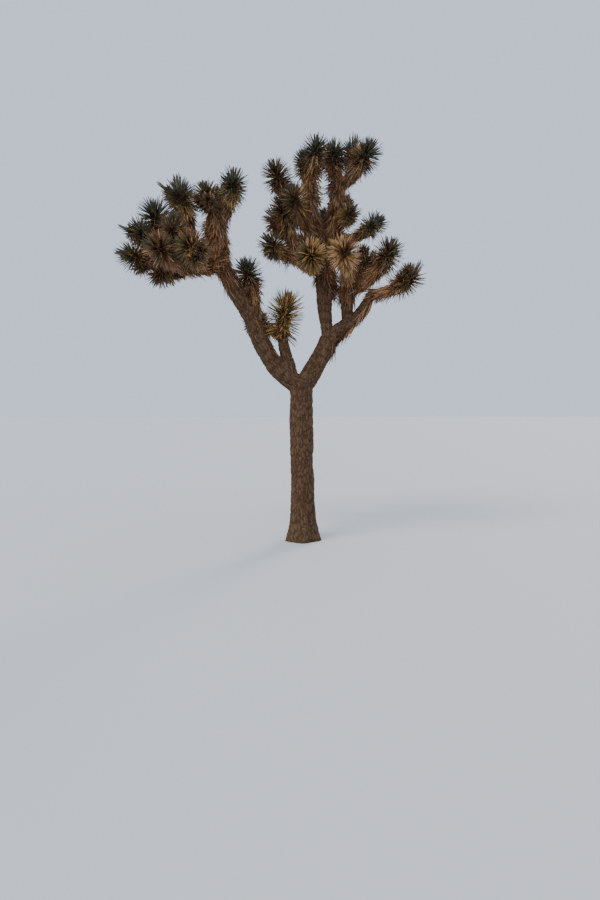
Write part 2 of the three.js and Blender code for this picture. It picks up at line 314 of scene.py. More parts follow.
# How far crumbs, lumps and the lobes of the foot stand out, and how many crumbs, lumps and kinds of
# furrow edge lie in a metre, across a limb and along it
CRUMB_DEPTH, LUMP_DEPTH, LOBE_DEPTH = 0.006, 0.022, 0.014
CRUMBS, LUMPS, EDGES = (75, 75, 30), (7, 7, 4), (22, 22, 9)
# How wide the edges of the furrows are at least, and how much wider at most
EDGE_WIDTH, EDGE_CHANGE = 0.18, 0.34
# How much of a plate's height lies under the plain surface, how much the plates differ in height,
# and how far apart the patterns of two limbs are
PLATE_SUNK, PLATE_CHANGE = 0.72, 0.5
LIMB_APART = 3.7
# The stems inside the crown: grid of their mesh, lumps in a metre, and their depth
STEM_CELL = 0.014
STEM_LUMPS = (55, 55, 40)
STEM_DEPTH = 0.006
# Stretches of the tubes of the trunk, a bough and a stem, how much narrower their round tips are,
# and the rounds of smoothing where boughs and where stems meet
TRUNK_RINGS, BOUGH_RINGS, STEM_RINGS = 8, 6, 4
TIP_SHARE = 0.97
BARK_ROUNDS, STEM_ROUNDS = 8, 3
# The disc under the trunk that is cut level: its height and its middle
FOOT_HEIGHT, FOOT_MIDDLE = 0.06, -0.02
# The bark's shine, and how dark its grain and a stem's furrows are beside the plain colour
BARK_SHINE = 0.25
GRAIN_SHADE, FURROW_SHADE = 0.55, 0.4

# Shine of live and dead leaves, and the least and most roughness
LIVE_GLOSS = (0.4, 0.4, 0.64)
DEAD_GLOSS = (0.2, 0.7, 0.95)

# The camera's frame, in millimetres
FRAME_HEIGHT = 36
# Studio lights, wide enough for soft shadows: name, heading from the front to the right, height,
# strength, width in degrees and colour
SUNS = [
    ("Key light", -48, 48, 1.7, 28, (1, 0.97, 0.92)),
    ("Rim light", 152, 26, 1.5, 18, (1, 0.84, 0.64)),
]


def length(name, description, default, low=0.0001, high=10.0):
    """A size in metres."""
    return bpy.props.FloatProperty(
        name=name, description=description, default=default, min=low, max=high,
        precision=4, subtype="DISTANCE", unit="LENGTH",
    )


def colour(name, description, default):
    """A colour with red, green and blue from 0 to 1."""
    return bpy.props.FloatVectorProperty(
        name=name, description=description, default=default, min=0, max=1, size=3,
        subtype="COLOR",
    )


def number(name, description, default, low, high):
    """A whole number."""
    return bpy.props.IntProperty(
        name=name, description=description, default=default, min=low, max=high
    )


def fraction(name, description, default):
    """A share from 0 to 1."""
    return bpy.props.FloatProperty(
        name=name, description=description, default=default, min=0, max=1, subtype="FACTOR"
    )


class TreeSizes(bpy.types.PropertyGroup):
    """Sizes that every piece of the tree is made from."""

    root_flare: length("Root flare", "How far the trunk widens at the ground", 0.07)
    root_flare_height: length("Flare height", "Height over which the root flare fades", 0.19)
    ball_radius: length("Ball radius", "Radius of an ordinary leaf ball", 0.172)
    ball_rise: length("Ball rise", "Height of a leaf ball over its middle", 0.18)
    skirt_length: length("Skirt length", "How far dead leaves hang below a ball", 0.33)
    stem_radius: length("Stem radius", "Radius of a ball's stem in its dead leaves", 0.064)
    core_radius: length("Core radius", "Radius of a ball's stem without them", 0.043)
    leaf_length: length("Leaf length", "Length of a live leaf", 0.178)
    leaf_width: length("Leaf width", "Width of a live leaf", 0.0163)
    dead_length: length("Dead leaf length", "Length of a dead leaf", 0.165)
    dead_width: length("Dead leaf width", "Width of a dead leaf", 0.0115)
    brush: length("Brush", "How far down its stem an ordinary ball has live leaves", 0.16)
    coat_depth: length("Coat depth", "How thick the dead leaves lie on a clothed limb", 0.05)
    bark_cell: length("Bark grid", "Distance between the points of the bark's mesh", 0.0085)
    plate_width: length("Plate width", "Width of a plate of bark", 0.029)
    plate_height: length("Plate height", "Height of a plate of bark", 0.12)
    furrow_depth: length("Furrow depth", "Depth of the furrows between plates", 0.009)
    leaves_per_ball: number("Leaves per ball", "Live leaves of an ordinary ball", 225, 10, 900)
    dead_per_metre: number("Dead leaves per metre", "Dead leaves on a metre of stem", 1200, 10, 4000)
    ruffled: fraction("Ruffled leaves", "The share of dead leaves that stand out from the coat", 0.32)
    seed: number("Seed", "Another number gives another tree of the same shape", 7, 0, 9999)


class TreeColours(bpy.types.PropertyGroup):
    """Plain colours that the pieces are finished in."""

    bark_plate: colour("Bark plates", "Weathered tops of the plates", (0.14, 0.07, 0.032))
    bark_grey: colour("Bark weathering", "Where the bark has greyed", (0.16, 0.1, 0.06))
    bark_furrow: colour("Bark furrows", "Depth of the furrows", (0.055, 0.027, 0.013))
    stem: colour("Stems", "Stems under the dead leaves", (0.07, 0.042, 0.024))
    leaf_blue: colour("Blue-green leaves", "Leaves in full growth", (0.064, 0.062, 0.049))
    leaf_green: colour("Green leaves", "Leaves in full growth", (0.078, 0.073, 0.032))
    leaf_olive: colour("Olive leaves", "Older leaves", (0.132, 0.098, 0.031))
    leaf_yellow: colour("Yellow leaves", "Leaves that are fading", (0.38, 0.225, 0.052))
    leaf_straw: colour("Straw leaves", "Leaves that have just died", (0.56, 0.31, 0.138))
    leaf_brown: colour("Brown leaves", "Leaves that the frost has browned", (0.185, 0.09, 0.038))
    leaf_spine: colour("Leaf spines", "Sharp tips of the leaves", (0.05, 0.03, 0.018))
    dead_tan: colour("Tan dead leaves", "Dead leaves", (0.44, 0.23, 0.108))
    dead_brown: colour("Brown dead leaves", "Dead leaves", (0.29, 0.137, 0.061))
    dead_umber: colour("Dark dead leaves", "The oldest dead leaves", (0.135, 0.063, 0.029))
    dead_grey: colour("Grey dead leaves", "Dead leaves that the sun has bleached", (0.36, 0.25, 0.165))
    dead_straw: colour("Straw dead leaves", "The newest dead leaves", (0.58, 0.385, 0.16))


class StageSettings(bpy.types.PropertyGroup):
    """The floor, the light and the camera."""

    floor_width: length("Floor width", "Width of the floor", 160, 10, 1000)
    floor: colour("Floor", "Colour of the floor", (0.59, 0.602, 0.625))
    air: colour("Surrounding light", "Colour of the light from all sides", (0.72, 0.83, 1.0))
    air_strength: bpy.props.FloatProperty(
        name="Surrounding strength", description="Strength of the light from all sides",
        default=1.06, min=0,
    )
    eye_height: length("Eye height", "Height of the camera", 1.7)
    distance: length("Distance", "From the camera to the trunk", 7.5)
    aside: length("Aside", "How far the camera stands to the left", 0.0375)
    tilt: bpy.props.FloatProperty(
        name="Tilt", description="How far the camera looks down", default=math.radians(4.29),
        subtype="ANGLE", unit="ROTATION",
    )
    lens: bpy.props.FloatProperty(
        name="Lens", description="Focal length on a 36 mm high frame", default=24,
        subtype="DISTANCE_CAMERA", unit="CAMERA",
    )


def sizes():
    """The sizes as the panel shows them."""
    return bpy.context.scene.joshua_tree_sizes


def colours():
    """The colours as the panel shows them."""
    return bpy.context.scene.joshua_tree_colours


# The skeleton


def unit(v):
    """Vectors of length 1 along v."""
    return v / np.maximum(np.linalg.norm(v, axis=-1, keepdims=True), 1e-9)


def mix(a, b, share):
    """The value at a share of the way from a to b."""
    return a + (b - a) * share


def smooth_step(low, high, value):
    """0 below low, 1 above high, and a smooth rise between them."""
    share = np.clip((value - low) / (high - low), 0, 1)
    return share * share * (3 - 2 * share)


def draws(purpose, order):
    """The random draws of one limb for one purpose."""
    return np.random.default_rng([sizes().seed, purpose, order])


class MiddleLine:
    """The middle line of a limb: a curve from its seat to its end, and straight on past it."""

    def __init__(self, start, end, bow):
        self.start, self.end = np.array(start, float), np.array(end, float)
        chord = self.end - self.start
        ahead = unit(chord)
        hang = DOWN - DOWN.dot(ahead) * ahead
        hang = unit(hang if np.linalg.norm(hang) >= 0.01 else ACROSS)
        self.control = (self.start + self.end) / 2
        self.control = self.control + hang * 2 * bow * np.linalg.norm(chord)
        self.side = unit(np.cross(chord, hang))
        self.shares = np.linspace(0, 1, LINE_POINTS)
        steps = np.diff(self.point(self.shares), axis=0)
        self.along = np.concatenate([[0], np.cumsum(np.linalg.norm(steps, axis=1))])
        self.length = self.along[-1]

    def point(self, share):
        """Points at shares of the curve's own parameter."""
        s = np.asarray(share, float)[..., None]
        return (1 - s) ** 2 * self.start + 2 * (1 - s) * s * self.control + s**2 * self.end

    def at(self, distance):
        """Points and directions at distances along the line."""
        distance = np.asarray(distance, float)
        share = np.interp(distance, self.along, self.shares)
        s = share[..., None]
        ahead = unit((1 - s) * (self.control - self.start) + s * (self.end - self.control))
        past = distance - np.clip(distance, 0, self.length)
        return self.point(share) + ahead * past[..., None], ahead


class Limb:
    """A limb or a ball's stem, with its outline in dead leaves and its core of wood."""

    def __init__(self, name, on, line, outline, core, **ball):
        self.name, self.on, self.line = name, on, line
        self.outline, self.core = outline, core
        self.node = ball.get("node", name)
        self.size = ball.get("size", 0)
        self.tone = ball.get("tone", "coat" if name in CLOTHED_LIMBS else "bare")


def wood_radius(name, girth, long):
    """The radius of a limb's wood at distances along it."""
    s = sizes()
    flare, fade = (s.root_flare, s.root_flare_height) if name == "trunk" else (0, 1)
    depth = s.coat_depth if name in CLOTHED_LIMBS else 0
    patches = [(a * long, p) for limb, a, _, side, p, _ in PATCHES if limb == name and not side]

    def radius(distance):
        d = np.asarray(distance, float)
        share = np.clip(d / long, 0, 1)
        coat = depth + sum(p * smooth_step(a, a + PATCH_FADE, d) for a, p in patches)
        return mix(*girth, share) + flare * np.exp(-d / fade) - coat

    return radius


def coat_radius(girth, long):
    """The radius of a limb with its coat at distances along it."""

    def radius(distance):
        return mix(*girth, np.clip(np.asarray(distance) / long, 0, 1))

    return radius


def grow_skeleton():
    """Every limb, every ball's stem and every side shoot by name, in the order they grow."""
    grown = {}

    def seat(on, at):
        return grown[on].line.at(at * grown[on].line.length)[0] if on else np.zeros(3)

    for name, on, at, end, bow, girth in LIMBS:
        line = MiddleLine(seat(on, at), end, bow)
        coated = coat_radius(girth, line.length)
        grown[name] = Limb(name, on, line, coated, wood_radius(name, girth, line.length))
    for kind, balls in CROWN.items():
        for count, (on, at, end, bow, size, skirt, tone) in enumerate(balls, 1):
            line = MiddleLine(seat(on, at), end, bow)
            name = f"{kind}_{count}"
            grown[name] = ball_stem(name, on, line, size=size, tone=tone, node=name, skirt=skirt)
    for order, ball in enumerate([limb for limb in grown.values() if limb.size]):
        rng = draws(SIDE_SHOOTS, order)
        for count, (start, end, size) in enumerate(side_shoots(ball, rng), 1):
            line, name = MiddleLine(start, end, SHOOT_BOW), f"{ball.name}_shoot_{count}"
            grown[name] = ball_stem(
                name, ball.name, line, size=size, tone=ball.tone, node=ball.name, skirt=1
            )
    return grown


def side_shoots(ball, rng):
    """Where a ball's side shoots start and end, and their sizes."""
    line, size = ball.line, ball.size
    tip, ahead = line.at(line.length)
    ends = [(tip + np.array(away), part) for name, away, part in SHOOTS if name == ball.name]
    more = rng.choice(3, p=SHOOT_CHANCES) if size <= LARGEST_WITH_SHOOTS else 0
    aside, upward = SHOOT_LEANS
    for _ in range(more):
        away = np.array([rng.normal(0, aside), rng.choice((-1, 1)), rng.normal(0, upward)])
        away = unit(away - away.dot(ahead) * ahead) * rng.uniform(*SHOOT_ASIDE) * size
        end = tip + away - ahead * rng.uniform(*SHOOT_BELOW) * size
        ends.append((end, rng.uniform(*SHOOT_SIZE)))
    for end, part in ends:
        start, _ = line.at(line.length - rng.uniform(*SHOOT_FORK) * size)
        yield start, end, part * size


def ball_stem(name, on, line, size, tone, node, skirt):
    """A stem with its ball of leaves and its skirt."""
    s = sizes()
    fall = min(s.skirt_length * size * skirt, LONGEST_SKIRT * line.length)
    stem = s.stem_radius * (1 if node == name else size)
    outline = ball_outline(line.length, fall, size, stem)
    return Limb(name, on, line, outline, ball_core(line.length, size), size=size, tone=tone,
                node=node)


def ball_outline(long, fall, size, stem):
    """The radius of a ball and its skirt at distances along the stem."""
    s = sizes()
    heights = [h * (fall if h < 0 else s.ball_rise * size) for h, _ in BALL_OUTLINE]
    widths = [w * s.ball_radius * size for _, w in BALL_OUTLINE]
    widths[0] = NECK * stem

    def radius(distance):
        d = np.asarray(distance, float)
        outline = np.interp(d - long, heights, widths)
        below = mix(stem, NECK * stem, np.clip(d / max(long - fall, 0.01), 0, 1))
        return np.where(d < long - fall, below, outline)

    return radius


def ball_core(long, size):
    """The radius of a ball's stem, which narrows to its growing tip."""
    core = sizes().core_radius * min(size, 1)

    def radius(distance):
        past = (np.asarray(distance, float) - long) / (STEM_TIP * size)
        return core * np.sqrt(np.clip(1 - np.clip(past, 0, 1) ** 2, 0.02, 1))

    return radius


# Meshes


def deselect():
    """Leaves nothing selected, so that an operator acts on the new piece only."""
    bpy.ops.object.select_all(action="DESELECT")


def choose(*objects):
    """Selects these objects, with the first one active."""
    deselect()
    for o in objects:
        o.select_set(True)
    bpy.context.view_layer.objects.active = objects[0]
    return objects[0]


def tube(limb, rings):
    """A curve along a limb, thickened to its wood and turned into a mesh, and its round tip."""
    line = limb.line
    deselect()
    bpy.ops.curve.primitive_bezier_curve_add(radius=1, location=(0, 0, 0))
    made = bpy.context.object
    spline = made.data.splines[0]
    ends = spline.bezier_points
    for p in ends:
        p.handle_left_type = p.handle_right_type = "FREE"
    first, last = (line.control - line.start) * 2 / 3, (line.control - line.end) * 2 / 3
    ends[0].co, ends[1].co = line.start, line.end
    ends[0].handle_left, ends[0].handle_right = line.start - first, line.start + first
    ends[1].handle_left, ends[1].handle_right = line.end + last, line.end - last
    bpy.ops.object.mode_set(mode="EDIT")
    bpy.ops.curve.select_all(action="SELECT")
    bpy.ops.curve.subdivide(number_cuts=rings - 1)
    bpy.ops.object.mode_set(mode="OBJECT")
    stations = np.interp(np.linspace(0, 1, rings + 1), line.shares, line.along)
    for p, radius in zip(made.data.splines[0].bezier_points, limb.core(stations), strict=True):
        p.radius = float(radius)
    made.data.dimensions = "3D"
    made.data.resolution_u = 2
    made.data.bevel_depth = 1
    made.data.bevel_resolution = 6
    made.data.use_fill_caps = True
    bpy.ops.object.convert(target="MESH")
    made = bpy.context.object
    at, _ = line.at(line.length)
    radius = float(limb.core(line.length)) * TIP_SHARE
    bpy.ops.mesh.primitive_ico_sphere_add(subdivisions=3, radius=radius, location=at)
    return [made, bpy.context.object]


def weld(name, parts, cell, rounds):
    """One closed skin round overlapping parts, smoothed where they meet."""
    made = choose(*parts)
    bpy.ops.object.join()
    bpy.ops.object.transform_apply(location=True, rotation=True, scale=True)
    made.name = made.data.name = name
    made.data.remesh_voxel_size = cell
    bpy.ops.object.voxel_remesh()
    smooth = made.modifiers.new("Smooth the forks", "SMOOTH")
    smooth.factor = 0.5
    smooth.iterations = rounds
    bpy.ops.object.modifier_apply(modifier=smooth.name)
    return made


def corners_of(mesh, what="co"):
    """Places or normals of a mesh's points."""
    flat = np.empty(len(mesh.vertices) * 3, np.float32)
    mesh.vertices.foreach_get(what, flat)
    return flat.reshape(-1, 3).astype(float)


def raise_surface(mesh, points, relief):
    """Moves a mesh's points, and keeps how far each is raised for its material."""
    mesh.vertices.foreach_set("co", points.astype(np.float32).ravel())
    mesh.update()
    kept = mesh.attributes.new("relief", "FLOAT", "POINT")
    kept.data.foreach_set("value", np.clip(relief, 0, 1).astype(np.float32))


def nearest_limb(points, limbs):
    """For each point, which limb's surface it lies on."""
    best, index = np.full(len(points), np.inf), np.zeros(len(points), int)
    for k, limb in enumerate(limbs):
        stations = np.linspace(0, limb.line.length, LIMB_STATIONS)
        middle, _ = limb.line.at(stations)
        radius = limb.core(stations)
        for m, r in zip(middle, radius, strict=True):
            off = np.linalg.norm(points - m, axis=1) / r
            nearer = off < best
            best[nearer], index[nearer] = off[nearer], k
    return index


# Large odd numbers that shuffle the bits of a cell's place
CELL_FACTORS = (73856093, 19349663, 83492791)
SEED_FACTOR = 2654435761
SHUFFLES = ((15, 2246822519), (13, 3266489917))


def scatter(cells, seed):
    """A repeatable number from 0 to 1 for each cell of a grid."""
    mixed = np.bitwise_xor.reduce(cells * CELL_FACTORS, axis=-1)
    mixed = (mixed ^ (seed * SEED_FACTOR)) & 0xFFFFFFFF
    for shift, factor in SHUFFLES:
        mixed = ((mixed ^ (mixed >> shift)) * factor) & 0xFFFFFFFF
    return ((mixed ^ (mixed >> 16)) & 0xFFFFFF) / float(0x1000000)


def soft_noise(points, seed):
    """Smooth noise from 0 to 1, one lump per unit."""
    low = np.floor(points).astype(np.int64)
    share = points - low
    share = share * share * (3 - 2 * share)
    total = 0
    for corner in np.ndindex(2, 2, 2):
        step = np.array(corner)
        weight = np.prod(np.where(step == 1, share, 1 - share), axis=1)
        total = total + weight * scatter(low + step, seed)
    return total


def wobble(points, apart, seed):
    """Smooth noise from -0.5 to 0.5 in each direction."""
    return np.stack([soft_noise(points + apart * k, seed + k) - 0.5 for k in range(3)], 1)


def plates(points, seed):
    """Distance to the furrow and a number for each plate, for plates of about one unit."""
    low = np.floor(points).astype(np.int64)
    first, second = np.full(len(points), 9.0), np.full(len(points), 9.0)
    owner = np.zeros(len(points))
    for corner in np.ndindex(3, 3, 3):
        cell = low + np.array(corner) - 1
        spot = np.stack([scatter(cell, seed + k) for k in range(3)], 1)
        away = np.linalg.norm(cell + 0.15 + 0.7 * spot - points, axis=1)
        nearer = away < first
        second = np.where(nearer, first, np.minimum(second, away))
        owner = np.where(nearer, scatter(cell, seed + 9), owner)
        first = np.where(nearer, away, first)
    return second - first, owner


def carve_bark(made, limbs, seed):
    """Raises the plates of the bark and sinks the furrows between them."""
    s, mesh = sizes(), made.data
    points, normals = corners_of(mesh), corners_of(mesh, "normal")
    index = nearest_limb(points, limbs)
    local = np.empty_like(points)
    for k, limb in enumerate(limbs):
        ahead = unit(limb.line.end - limb.line.start)
        side = limb.line.side
        axes = np.stack([side, np.cross(ahead, side), ahead], 1)
        mine = index == k
        local[mine] = (points[mine] - limb.line.start) @ axes + LIMB_APART * k
    bent = local + PLATE_WAVER * wobble(local * WAVERS, 20, seed)
    bent = bent + PLATE_JITTER * wobble(local * JITTERS, 30, seed)
    scale = np.array([1 / s.plate_width, 1 / s.plate_width, 1 / s.plate_height])
    furrow, owner = plates(bent * scale, seed)
    edge = EDGE_WIDTH + EDGE_CHANGE * soft_noise(local * EDGES, seed + 7)
    raised = smooth_step(0, edge, furrow)
    crumbs = soft_noise(local * CRUMBS, seed + 5) - 0.5
    lumps = soft_noise(points * LUMPS, seed + 6) - 0.5
    shift = s.furrow_depth * (raised - PLATE_SUNK + PLATE_CHANGE * (owner - 0.5) * raised)
    shift += CRUMB_DEPTH * crumbs + LUMP_DEPTH * lumps
    turn = np.arctan2(points[:, 1], points[:, 0])
    lobes = np.cos(5 * turn + 1.3) + 0.6 * np.cos(3 * turn + 0.4)
    foot = np.exp(-points[:, 2] / s.root_flare_height)
    shift += LOBE_DEPTH * lobes * foot * (index == 0)
    shade = raised * (0.7 + 0.3 * owner) + 0.5 * crumbs
    raise_surface(mesh, points + normals * shift[:, None], shade)


def flat_cut(made):
    """Cuts a piece off level with the ground, closes the cut and makes it flat."""
    choose(made)
    bpy.ops.object.mode_set(mode="EDIT")
    bpy.ops.mesh.select_all(action="SELECT")
    bpy.ops.mesh.bisect(
        plane_co=(0, 0, 0), plane_no=(0, 0, 1), use_fill=True, clear_inner=True, threshold=1e-5
    )
    bpy.ops.object.mode_set(mode="OBJECT")
    points = corners_of(made.data)
    points[:, 2] = np.maximum(points[:, 2], 0)
    made.data.vertices.foreach_set("co", points.astype(np.float32).ravel())
    made.data.update()


# A blade: where its three rings stand, how wide they are, and its faces. Each ring has a left
# edge, a keel and a right edge, and the last three faces are the spine.
BLADE_STATIONS = (0, 0.5, 0.85)
BLADE_WIDTHS = (1.0, 0.93, 0.58)
BLADE_THICKNESS = 0.34
BLADE_FACES = [(0, 2, 1)] + [
    (3 * j + a, 3 * j + b, 3 * j + 3 + b, 3 * j + 3 + a)
    for j in (0, 1) for a, b in ((0, 1), (1, 2), (2, 0))
] + [(6 + a, 6 + b, 9) for a, b in ((0, 1), (1, 2), (2, 0))]
SPINE_FACES = 3
BLADE_POINTS = 10


class Blades:
    """Leaves that become one mesh."""

    def __init__(self):
        self.sets = []

    def add(self, **leaves):
        """More leaves, as arrays of base, ahead, across, bend, length, width, tint and spine."""
        self.sets.append(leaves)

    def build(self, name, materials):
        """The mesh object of all the leaves."""
        get = {k: np.concatenate([leaves[k] for leaves in self.sets]) for k in self.sets[0]}
        upper = np.cross(get["ahead"], get["across"])
        count = len(get["base"])
        corners = np.empty((count, BLADE_POINTS, 3))
        for ring, (station, share) in enumerate(zip(BLADE_STATIONS, BLADE_WIDTHS, strict=True)):
            path = station * get["ahead"] + station**2 * get["bend"]
            middle = get["base"] + get["length"][:, None] * path
            half = 0.5 * share * get["width"][:, None]
            corners[:, 3 * ring] = middle - get["across"] * half
            corners[:, 3 * ring + 1] = middle - upper * half * 2 * BLADE_THICKNESS
            corners[:, 3 * ring + 2] = middle + get["across"] * half
        corners[:, 9] = get["base"] + get["length"][:, None] * (get["ahead"] + get["bend"])
        pattern = np.concatenate(BLADE_FACES)
        loops = (np.arange(count)[:, None] * BLADE_POINTS + pattern).ravel()
        sides = np.tile([len(f) for f in BLADE_FACES], count)
        starts = np.concatenate([[0], np.cumsum(sides)[:-1]])
        tint = np.repeat(get["tint"][:, None], len(BLADE_FACES), axis=1)
        tint[:, -SPINE_FACES:] = get["spine"][:, None]
        mesh = bpy.data.meshes.new(name)
        mesh.vertices.add(count * BLADE_POINTS)
        mesh.loops.add(len(loops))
        mesh.polygons.add(len(sides))
        mesh.vertices.foreach_set("co", corners.astype(np.float32).ravel())
        mesh.loops.foreach_set("vertex_index", loops.astype(np.int32))
        mesh.polygons.foreach_set("loop_start", starts.astype(np.int32))
        mesh.polygons.foreach_set("material_index", tint.astype(np.int32).ravel())
        for material in materials:
            mesh.materials.append(material)
        mesh.update(calc_edges=True)
        mesh.validate()
        made = bpy.data.objects.new(name, mesh)
        bpy.context.scene.collection.objects.link(made)
        return made


# Leaves


def ring_frame(line, distance, angle):
    """Points on a line, the direction along it, and the directions out of it and round it."""
    middle, ahead = line.at(distance)
    front = np.cross(line.side, ahead)
    out = unit(np.sin(angle)[:, None] * line.side + np.cos(angle)[:, None] * front)
    return middle, ahead, out, np.cross(ahead, out)


def twisted(ahead, across, twist):
    """Turns the blades a little about their own length."""
    upper = np.cross(ahead, across)
    return np.cos(twist)[:, None] * across + np.sin(twist)[:, None] * upper


def clean(across, ahead):
    """The part of across that stands square to ahead."""
    return unit(across - np.sum(across * ahead, 1, keepdims=True) * ahead)


def deal(rng, tips, tone):
    """The colour of each leaf: mostly that of its spray, at times one of its own."""
    chances = np.array(tone) / sum(tone)
    middles = tips[rng.integers(len(tips), size=max(2, len(tips) // LEAVES_PER_SPRAY))]
    sprays = rng.choice(len(tone), len(middles), p=chances)
    nearest = np.argmin(np.linalg.norm(tips[:, None] - middles, axis=2), axis=1)
    own = rng.choice(len(tone), len(tips), p=chances)
    return np.where(rng.random(len(tips)) < SPRAY_SHARE, sprays[nearest], own)


def leaf_ball(blades, limb, rng):
    """Live leaves round a growing tip: a spear of young ones, level ones and drooping ones."""
    s, size = sizes(), limb.size
    count = int(s.leaves_per_ball * size**1.5)
    order = (np.arange(count) + 0.5) / count
    angle = np.arange(count) * GOLDEN_ANGLE + rng.normal(0, LIVE_TURN, count)
    lean = np.arccos(mix(math.cos(LOWEST_LEAN), 1, order)) + rng.normal(0, LIVE_LEAN, count)
    young = order > 1 - SPEAR_SHARE
    lean[young] *= YOUNG_LEAN
    brush = s.brush * BRUSHES.get(limb.name, 1)
    distance = limb.line.length + mix(-brush, HIGHEST_SEAT, order**EVENNESS) * size
    middle, axis, out, around = ring_frame(limb.line, distance, angle)
    ahead = np.cos(lean)[:, None] * axis + np.sin(lean)[:, None] * out
    ahead = unit(ahead + around * rng.normal(0, LIVE_SWING, count)[:, None])
    longer, way = SPEARS.get(limb.name, (YOUNG_LENGTH, None))
    if way:
        ahead[young] = unit(ahead[young] + SPEAR_LEAN * np.array(way, float))
    long = s.leaf_length * size * rng.uniform(*LIVE_LENGTHS, count)
    long[young] *= longer
    bend = axis * rng.normal(*LIVE_BEND, count)[:, None] + DOWN * LIVE_SAG
    base = middle + out * (limb.core(distance) * LIVE_SEAT)[:, None]
    tint = deal(rng, base + ahead * long[:, None], LEAF_TONES[limb.tone])
    chance = FRESH_CHANCES.get(limb.tone, 0)
    upper = rng.random(count) < chance * smooth_step(*UPPERMOST, order)
    fresh = upper | young if chance else upper
    tint[fresh] = rng.integers(FULL_GROWTH, size=fresh.sum())
    blades.add(
        base=base,
        ahead=ahead,
        across=twisted(ahead, clean(around, ahead), rng.normal(0, LIVE_TWIST, count)),
        bend=bend,
        length=long,
        width=s.leaf_width * rng.uniform(*LIVE_WIDTHS, count),
        tint=tint,
        spine=np.where(chance > 0, len(LEAF_COLOURS), tint),
    )


def coat(blades, limb, rng, start, end, density=1.0, side=None, depth=None):
    """Dead leaves that hang back along a limb, some of them ruffled.

    They reach out as far as the limb's outline, or as far as a depth over its wood.
    """
    s, line = sizes(), limb.line
    stations = np.linspace(start, end, COAT_STATIONS)
    crowding = THIN_CROWD + THICK_CROWD * limb.outline(stations)
    steps = (crowding[1:] + crowding[:-1]) / 2 * np.diff(stations)
    heaped = np.concatenate([[0], np.cumsum(steps)])
    count = int(s.dead_per_metre * heaped[-1] * density)
    order = (np.arange(count) + rng.random(count)) / max(count, 1)
    distance = np.interp(order * heaped[-1], heaped, stations)
    angle = np.arange(count) * GOLDEN_ANGLE + rng.normal(0, DEAD_TURN, count)
    middle, axis, out, around = ring_frame(line, distance, angle)
    if side is not None:
        kept = rng.random(count) < np.clip(2 * (out @ unit(np.array(side, float))) - 0.5, 0, 1)
        distance, middle, axis, out, around = (
            x[kept] for x in (distance, middle, axis, out, around)
        )
        count = len(distance)
    core = limb.core(distance)
    long = s.dead_length * min(max(limb.size, LEAST_SIZE) if limb.size else 1, 1)
    long = long * rng.uniform(*DEAD_LENGTHS, count)
    ruffled = rng.random(count) < s.ruffled
    reach = np.where(ruffled, 1, rng.uniform(*FLAT_REACH, count))
    stand = np.where(ruffled, rng.uniform(*RUFFLED_STAND, count), 0)
    back = np.full(count, DEAD_BACK)
    for _ in range(LAYING_ROUNDS):
        surface = core + depth if depth else limb.outline(np.maximum(distance - long * back, 0))
        rise = np.clip((surface * reach + stand - core) / long, *DEAD_RISE)
        back = np.sqrt(1 - rise**2)
    ahead = rise[:, None] * out - back[:, None] * axis
    lift = np.where(ruffled, 0, rng.uniform(*FLAT_LIFT, count))[:, None]
    ahead = unit(ahead + around * rng.normal(0, DEAD_SWING, count)[:, None] + lift * out)
    base = middle + out * (core * DEAD_SEAT)[:, None]
    tips = base + ahead * long[:, None]
    tint = deal(rng, tips, DEAD_TONES[limb.tone])
    if limb.size:
        old = distance < line.length - NEWLY_DEAD * limb.size
        tint = np.where(old, deal(rng, tips, DEAD_TONES["coat"]), tint)
    blades.add(
        base=base,
        ahead=ahead,
        across=twisted(ahead, clean(around, ahead), rng.normal(0, DEAD_TWIST, count)),
        bend=-lift * out * FLAT_BEND + DOWN * DEAD_SAG * rng.random(count)[:, None],
        length=long,
        width=s.dead_width * rng.uniform(*DEAD_WIDTHS, count),
        tint=tint,
        spine=tint,
    )


# Materials


def node(tree, kind, **values):
    """A new node with its settings, and with its inputs set by name."""
    made = tree.nodes.new(kind)
    for name, value in values.items():
        if hasattr(made, name):
            setattr(made, name, value)
        else:
            made.inputs[name.replace("_", " ")].default_value = value
    return made


